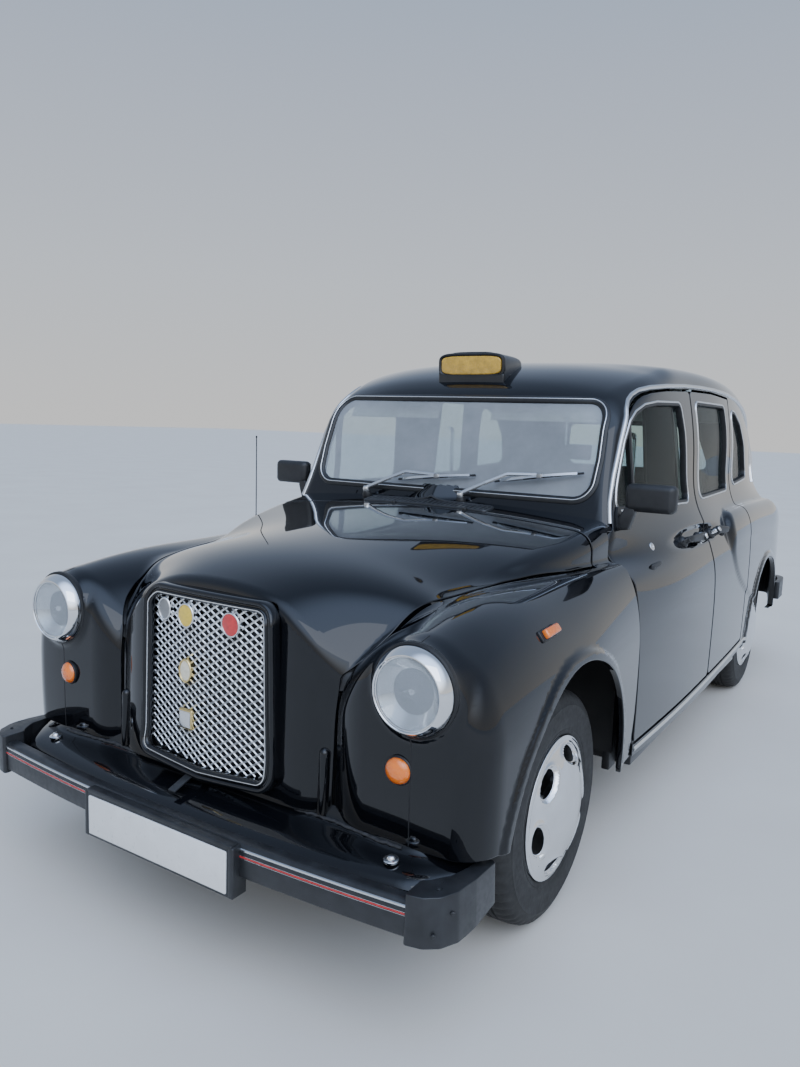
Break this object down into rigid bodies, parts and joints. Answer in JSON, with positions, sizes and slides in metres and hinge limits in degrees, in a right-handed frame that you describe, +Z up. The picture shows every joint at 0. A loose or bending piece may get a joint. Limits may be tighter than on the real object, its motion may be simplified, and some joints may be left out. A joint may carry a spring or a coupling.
{
  "type": "taxi cab",
  "caption": "Black four-door taxi cab with hinged doors, bonnet and boot lid, steered front wheels and a hollow cabin with partition and seats.",
  "frame": {"origin": "on the ground, at the middle of the length and width", "axes": "+X to the car's left, +Y to the rear, +Z up"},
  "size_m": [1.796, 4.575, 1.75],
  "materials": {
    "black_paint": "high gloss",
    "glass": "clear",
    "chassis_black": "matt underbody black",
    "engine_iron": "rough",
    "exhaust_steel": "dull",
    "chrome": "polished",
    "bright_mesh": "bright",
    "tyre": "satin rubber",
    "bumper_plastic": "satin black",
    "wiper_steel": "satin",
    "headlamp": "chrome rim and clear lens",
    "amber_lens": "amber lens",
    "red_lens": "red lens",
    "sign": "blank translucent panel in a black housing",
    "plate": "blank white plate",
    "seat_vinyl": "dark vinyl",
    "interior_trim": "satin",
    "partition_trim": "grey trim"
  },
  "bodies": {
    "body": {"aerial": "wiper_steel", "body_frame": "black_paint", "chassis_frame": "chassis_black", "dashboard": "interior_trim", "driver_seat": "seat_vinyl", "engine": "engine_iron", "exhaust": "exhaust_steel", "floor_pan": "chassis_black", "front_apron": "black_paint", "front_bumper": "bumper_plastic", "front_number_plate": "plate", "front_suspension": "chassis_black", "front_wing_left": "black_paint", "front_wing_right": "black_paint", "fuel_tank": "chassis_black", "headlamps": "headlamp", "indicators": "amber_lens", "leaf_springs": "chassis_black", "partition": "partition_trim", "partition_glass": "glass", "quarter_windows": "glass", "rear_axle": "chassis_black", "rear_body": "black_paint", "rear_bumper": "bumper_plastic", "rear_seat": "seat_vinyl", "rear_window": "glass", "rear_wing_left": "black_paint", "rear_wing_right": "black_paint", "roof_panel": "black_paint", "roof_sign": "sign", "scuttle": "black_paint", "tail_lamps": "red_lens", "tip_up_seats": "seat_vinyl", "wheelhouses": "chassis_black", "windscreen": "glass", "wipers": "wiper_steel"},
    "knuckle_left": {"knuckle_left": "chassis_black"},
    "knuckle_right": {"knuckle_right": "chassis_black"},
    "wheel_front_left": {"tyre_front_left": "tyre", "wheel_front_left": "chrome"},
    "wheel_front_right": {"tyre_front_right": "tyre", "wheel_front_right": "chrome"},
    "wheel_rear_left": {"tyre_rear_left": "tyre", "wheel_rear_left": "chrome"},
    "wheel_rear_right": {"tyre_rear_right": "tyre", "wheel_rear_right": "chrome"},
    "steering_wheel": {"steering_wheel": "interior_trim"},
    "front_door_left": {"front_door_left": "black_paint", "front_door_glass_left": "glass", "door_mirror_left": "bumper_plastic"},
    "front_door_right": {"front_door_right": "black_paint", "front_door_glass_right": "glass", "door_mirror_right": "bumper_plastic"},
    "rear_door_left": {"rear_door_left": "black_paint", "rear_door_glass_left": "glass"},
    "rear_door_right": {"rear_door_right": "black_paint", "rear_door_glass_right": "glass"},
    "bonnet": {"bonnet": "black_paint", "grille": "bright_mesh"},
    "boot_lid": {"boot_lid": "black_paint"}
  },
  "joints": [
    {"name": "steer_left", "type": "hinge", "parent": "body", "child": "knuckle_left", "pos_m": [0.65, -1.4875, 0.342], "axis": [0, 0, 1], "range_deg": [-45, 45]},
    {"name": "steer_right", "type": "hinge", "parent": "body", "child": "knuckle_right", "pos_m": [-0.65, -1.4875, 0.342], "axis": [0, 0, 1], "range_deg": [-45, 45]},
    {"name": "steering_wheel_turn", "type": "hinge", "parent": "body", "child": "steering_wheel", "pos_m": [-0.38, -0.5025, 0.985], "axis": [0, 0.7431, 0.6691], "range_deg": [-600, 600]},
    {"name": "wheel_front_left_spin", "type": "hinge", "parent": "knuckle_left", "child": "wheel_front_left", "pos_m": [0.71, -1.4875, 0.342], "axis": [1, 0, 0], "continuous": true},
    {"name": "wheel_rear_left_spin", "type": "hinge", "parent": "body", "child": "wheel_rear_left", "pos_m": [0.71, 1.3225, 0.342], "axis": [1, 0, 0], "continuous": true},
    {"name": "front_door_left_swing", "type": "hinge", "parent": "body", "child": "front_door_left", "pos_m": [0.838, -0.8835, 0.7], "axis": [0, 0, -1], "range_deg": [0, 65]},
    {"name": "rear_door_left_swing", "type": "hinge", "parent": "body", "child": "rear_door_left", "pos_m": [0.877, 0.7555, 0.7], "axis": [0, 0, 1], "range_deg": [0, 75]},
    {"name": "wheel_front_right_spin", "type": "hinge", "parent": "knuckle_right", "child": "wheel_front_right", "pos_m": [-0.71, -1.4875, 0.342], "axis": [1, 0, 0], "continuous": true},
    {"name": "wheel_rear_right_spin", "type": "hinge", "parent": "body", "child": "wheel_rear_right", "pos_m": [-0.71, 1.3225, 0.342], "axis": [1, 0, 0], "continuous": true},
    {"name": "front_door_right_swing", "type": "hinge", "parent": "body", "child": "front_door_right", "pos_m": [-0.838, -0.8835, 0.7], "axis": [0, 0, 1], "range_deg": [0, 65]},
    {"name": "rear_door_right_swing", "type": "hinge", "parent": "body", "child": "rear_door_right", "pos_m": [-0.877, 0.7555, 0.7], "axis": [0, 0, -1], "range_deg": [0, 75]},
    {"name": "bonnet_lift", "type": "hinge", "parent": "body", "child": "bonnet", "pos_m": [0, -1.0225, 1.128], "axis": [-1, 0, 0], "range_deg": [0, 55]},
    {"name": "boot_lid_lift", "type": "hinge", "parent": "body", "child": "boot_lid", "pos_m": [0, 1.9025, 1.043], "axis": [1, 0, 0], "range_deg": [0, 75]}
  ],
  "couplings": [
    {"joint": "steer_right", "follows": "steer_left", "ratio": 1},
    {"joint": "steering_wheel_turn", "follows": "steer_left", "ratio": 13.333}
  ]
}
